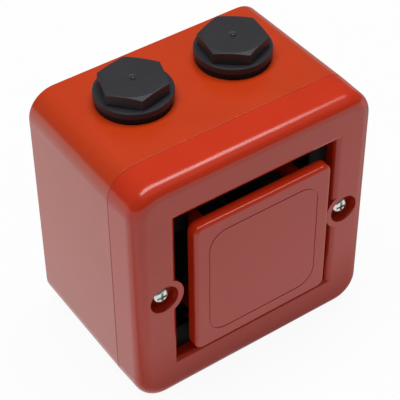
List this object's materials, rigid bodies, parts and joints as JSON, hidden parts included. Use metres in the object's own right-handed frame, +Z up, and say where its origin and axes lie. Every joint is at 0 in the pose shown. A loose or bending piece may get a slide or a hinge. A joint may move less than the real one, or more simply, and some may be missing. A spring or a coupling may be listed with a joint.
{
  "type": "alarm sounder",
  "caption": "Square wall-mounted alarm sounder: deep case, front cover with a square horn mouth behind a deflector plate, and cable entries on top closed by stopping plugs.",
  "frame": {"origin": "centre of the flat back face, which lies on the wall", "axes": "+Z up, the mouth and the deflector plate face -Y, +X to the right seen from the front"},
  "size_m": [0.093, 0.0656, 0.1025],
  "materials": {
    "case_red": "satin, finely grained moulding",
    "nylon_black": "satin moulding",
    "seal_black": "smooth",
    "zinc_steel": "bright zinc plate",
    "brass": "turned",
    "horn_black": "satin moulding",
    "ferrite": "ground ceramic",
    "film_amber": "glossy film",
    "coil_copper": "enamelled wire",
    "board_green": "lacquered",
    "terminal_green": "moulded",
    "component_black": "moulded",
    "component_blue": "moulded",
    "slider_white": "moulded",
    "tin": "tinned",
    "wire_red": "smooth sleeve"
  },
  "bodies": {
    "housing": {"rear_housing": "case_red", "housing_seal": "seal_black", "screw_inserts": "brass"},
    "cover": {"front_cover": "case_red", "cover_screws": "zinc_steel", "cover_screw_washers": "zinc_steel", "deflector_plate": "case_red", "deflector_screws": "zinc_steel", "horn_flare": "horn_black", "horn_screws": "zinc_steel", "driver_seal_ring": "seal_black", "phase_plug": "horn_black", "diaphragm": "film_amber", "diaphragm_clamp": "horn_black", "voice_coil": "coil_copper", "top_plate": "zinc_steel", "magnet_ring": "ferrite", "yoke": "zinc_steel", "driver_screws": "zinc_steel", "driver_terminals": "tin", "driver_leads": "wire_red", "circuit_board": "board_green", "board_screws": "zinc_steel", "terminal_block": "terminal_green", "terminal_screws": "zinc_steel", "tone_switch": "component_blue", "volume_trimmer": "component_blue", "tone_chip": "component_black", "chip_pins": "tin", "capacitors": "component_black", "inductor_core": "ferrite", "inductor_winding": "coil_copper", "output_transistor": "component_black", "transistor_tab": "tin", "transistor_legs": "tin", "rectifier_diodes": "component_black"},
    "volume_rotor": {"volume_rotor": "slider_white"},
    "tone_slider_1": {"tone_slider_1": "slider_white"},
    "tone_slider_2": {"tone_slider_2": "slider_white"},
    "tone_slider_3": {"tone_slider_3": "slider_white"},
    "tone_slider_4": {"tone_slider_4": "slider_white"},
    "tone_slider_5": {"tone_slider_5": "slider_white"},
    "left_washer": {"left_sealing_washer": "seal_black"},
    "left_plug": {"left_stopping_plug": "nylon_black"},
    "right_washer": {"right_sealing_washer": "seal_black"},
    "right_plug": {"right_stopping_plug": "nylon_black"}
  },
  "joints": [
    {"name": "cover_slide", "type": "slide", "parent": "housing", "child": "cover", "axis": [0, -1, 0], "range_m": [0, 0.06]},
    {"name": "left_plug_lift", "type": "slide", "parent": "housing", "child": "left_washer", "axis": [0, 0, 1], "range_m": [0, 0.012]},
    {"name": "left_plug_turn", "type": "hinge", "parent": "left_washer", "child": "left_plug", "pos_m": [-0.0193, -0.0214, 0.0464], "axis": [0, 0, 1], "range_deg": [0, 2880]},
    {"name": "right_plug_lift", "type": "slide", "parent": "housing", "child": "right_washer", "axis": [0, 0, 1], "range_m": [0, 0.012]},
    {"name": "right_plug_turn", "type": "hinge", "parent": "right_washer", "child": "right_plug", "pos_m": [0.0193, -0.0214, 0.0464], "axis": [0, 0, 1], "range_deg": [0, 2880]},
    {"name": "volume_turn", "type": "hinge", "parent": "cover", "child": "volume_rotor", "pos_m": [0.0309, -0.0298, -0.0156], "axis": [0, 1, 0], "range_deg": [-135, 135]},
    {"name": "tone_slide_1", "type": "slide", "parent": "cover", "child": "tone_slider_1", "axis": [0, 0, 1], "range_m": [0, 0.00226]},
    {"name": "tone_slide_2", "type": "slide", "parent": "cover", "child": "tone_slider_2", "axis": [0, 0, 1], "range_m": [0, 0.00226]},
    {"name": "tone_slide_3", "type": "slide", "parent": "cover", "child": "tone_slider_3", "axis": [0, 0, 1], "range_m": [0, 0.00226]},
    {"name": "tone_slide_4", "type": "slide", "parent": "cover", "child": "tone_slider_4", "axis": [0, 0, 1], "range_m": [0, 0.00226]},
    {"name": "tone_slide_5", "type": "slide", "parent": "cover", "child": "tone_slider_5", "axis": [0, 0, 1], "range_m": [0, 0.00226]}
  ],
  "couplings": [
    {"joint": "left_plug_lift", "follows": "left_plug_turn", "m_per_rad": 0.00023873},
    {"joint": "right_plug_lift", "follows": "right_plug_turn", "m_per_rad": 0.00023873}
  ]
}
